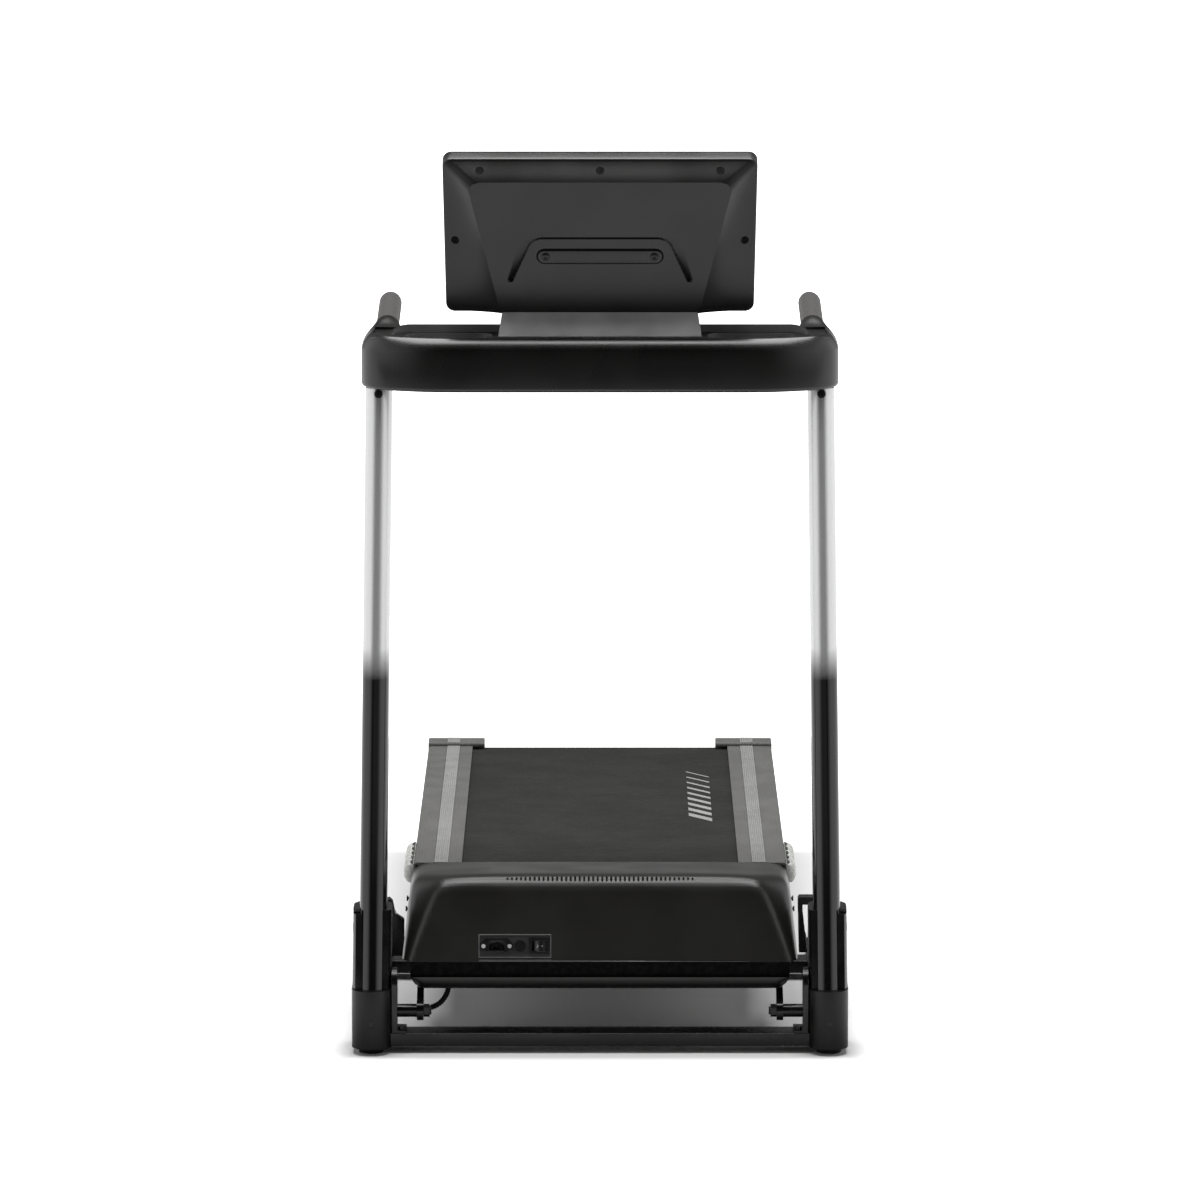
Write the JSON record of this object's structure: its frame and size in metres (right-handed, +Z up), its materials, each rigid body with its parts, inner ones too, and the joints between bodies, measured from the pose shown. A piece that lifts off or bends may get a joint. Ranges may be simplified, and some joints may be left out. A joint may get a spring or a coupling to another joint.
{
  "type": "folding treadmill",
  "caption": "Folding motorised treadmill: a running deck hinged on a low base between two leaning uprights with a wrap-round handlebar and a console.",
  "frame": {"origin": "on the floor, under the middle of the whole machine", "axes": "+Y from the motor hood towards the rear of the deck, +X across, to the left of someone who stands on the deck facing the console, +Z up"},
  "size_m": [0.758, 1.6, 1.3652],
  "materials": {
    "black_paint": "satin powder coat",
    "upright_paint": "silver lacquer that fades to black at the foot",
    "flange_paint": "satin powder coat",
    "zinc_steel": "zinc plated",
    "black_steel": "black oxide",
    "cover_plastic": "fine grain moulding",
    "hood_plastic": "satin moulding",
    "console_plastic": "fine grain moulding",
    "tray_plastic": "fine grain moulding",
    "foot_rail_plastic": "ribbed extrusion",
    "strip_rubber": "anti-slip ribs",
    "belt_rubber": "diamond weave with faint slanted stripes",
    "black_rubber": "moulded",
    "grip_foam": "closed-cell foam",
    "air_cell": "translucent film",
    "wheel_plastic": "moulded",
    "roller_steel": "turned",
    "board_wood": "coated fibreboard",
    "motor_paint": "grey lacquer",
    "circuit_green": "printed circuit board",
    "panel_plastic": "fine grain moulding",
    "display_glass": "smoked window",
    "green_button": "moulded",
    "red_button": "moulded",
    "grey_button": "moulded"
  },
  "bodies": {
    "frame": {"base_cross_tubes": "black_paint", "base_rails": "black_paint", "pivot_plates": "black_paint", "pivot_bolts": "black_steel", "latch_brackets": "black_paint", "upright_sockets": "black_paint", "left_upright": "upright_paint", "right_upright": "upright_paint", "boot_covers": "cover_plastic", "boot_flanges": "flange_paint", "levelling_feet": "black_rubber", "frame_bolts": "black_steel", "handlebar_frame": "black_paint", "handlebar_housing": "cover_plastic", "console_tray": "tray_plastic", "foam_grips": "grip_foam", "grip_end_caps": "cover_plastic", "console_neck": "tray_plastic", "console_rear_shell": "console_plastic", "console_bezel": "cover_plastic", "display_window": "display_glass", "display_board": "circuit_green", "console_screws": "black_steel", "cable_loom": "black_rubber"},
    "deck": {"deck_side_rails": "black_paint", "deck_cross_members": "black_paint", "motor_pan": "hood_plastic", "pivot_lugs": "black_paint", "running_board": "board_wood", "board_cushions": "black_rubber", "running_belt": "belt_rubber", "foot_rails": "foot_rail_plastic", "rail_strips": "strip_rubber", "rear_end_caps": "foot_rail_plastic", "air_cushions": "air_cell", "motor_hood": "hood_plastic", "deck_fasteners": "zinc_steel", "power_panel": "panel_plastic", "power_inlet": "cover_plastic", "switch_bodies": "cover_plastic", "motor_housing": "motor_paint", "controller_board": "circuit_green", "drive_belt": "black_rubber", "deck_legs": "black_paint", "deck_feet": "black_rubber", "roller_axles": "zinc_steel"},
    "front_roller": {"front_roller": "roller_steel"},
    "rear_roller": {"rear_roller": "roller_steel"},
    "motor_rotor": {"motor_rotor": "roller_steel"},
    "left_wheel": {"left_wheel": "wheel_plastic"},
    "right_wheel": {"right_wheel": "wheel_plastic"},
    "start_button": {"start_button": "green_button"},
    "stop_button": {"stop_button": "red_button"},
    "speed_up_button": {"speed_up_button": "grey_button"},
    "speed_down_button": {"speed_down_button": "grey_button"},
    "safety_key": {"safety_key": "red_button"},
    "power_rocker": {"power_rocker": "cover_plastic"},
    "breaker_button": {"breaker_button": "cover_plastic"}
  },
  "joints": [
    {"name": "deck_fold", "type": "hinge", "parent": "frame", "child": "deck", "pos_m": [0, -0.752, 0.062], "axis": [1, 0, 0], "range_deg": [0, 65], "deforming": ["cable_loom"]},
    {"name": "front_roller_spin", "type": "hinge", "parent": "deck", "child": "front_roller", "pos_m": [0, -0.5232, 0.20963], "axis": [1, 0, 0], "continuous": true},
    {"name": "rear_roller_spin", "type": "hinge", "parent": "deck", "child": "rear_roller", "pos_m": [0, 0.75993, 0.16258], "axis": [1, 0, 0], "continuous": true},
    {"name": "motor_spin", "type": "hinge", "parent": "deck", "child": "motor_rotor", "pos_m": [0, -0.685, 0.206], "axis": [1, 0, 0], "continuous": true},
    {"name": "left_wheel_spin", "type": "hinge", "parent": "frame", "child": "left_wheel", "pos_m": [-0.349, -0.052, 0.027], "axis": [1, 0, 0], "continuous": true},
    {"name": "right_wheel_spin", "type": "hinge", "parent": "frame", "child": "right_wheel", "pos_m": [0.349, -0.052, 0.027], "axis": [1, 0, 0], "continuous": true},
    {"name": "start_button_press", "type": "slide", "parent": "frame", "child": "start_button", "axis": [0, -0.9397, -0.342], "range_m": [0, 0.0015], "stiffness_N_per_m": 400},
    {"name": "stop_button_press", "type": "slide", "parent": "frame", "child": "stop_button", "axis": [0, -0.9397, -0.342], "range_m": [0, 0.0015], "stiffness_N_per_m": 400},
    {"name": "speed_up_press", "type": "slide", "parent": "frame", "child": "speed_up_button", "axis": [0, -0.9397, -0.342], "range_m": [0, 0.0015], "stiffness_N_per_m": 400},
    {"name": "speed_down_press", "type": "slide", "parent": "frame", "child": "speed_down_button", "axis": [0, -0.9397, -0.342], "range_m": [0, 0.0015], "stiffness_N_per_m": 400},
    {"name": "safety_key_pull", "type": "slide", "parent": "frame", "child": "safety_key", "axis": [0, 0.9397, 0.342], "range_m": [0, 0.02]},
    {"name": "power_rocker_tilt", "type": "hinge", "parent": "deck", "child": "power_rocker", "pos_m": [-0.093, -0.74975, 0.16205], "axis": [0, 0.1773, 0.9842], "range_deg": [-20, 0]},
    {"name": "breaker_pop", "type": "slide", "parent": "deck", "child": "breaker_button", "axis": [0, -0.9842, 0.1773], "range_m": [0, 0.003]}
  ],
  "couplings": [
    {"joint": "rear_roller_spin", "follows": "front_roller_spin", "ratio": 1},
    {"joint": "motor_spin", "follows": "front_roller_spin", "ratio": 2}
  ]
}
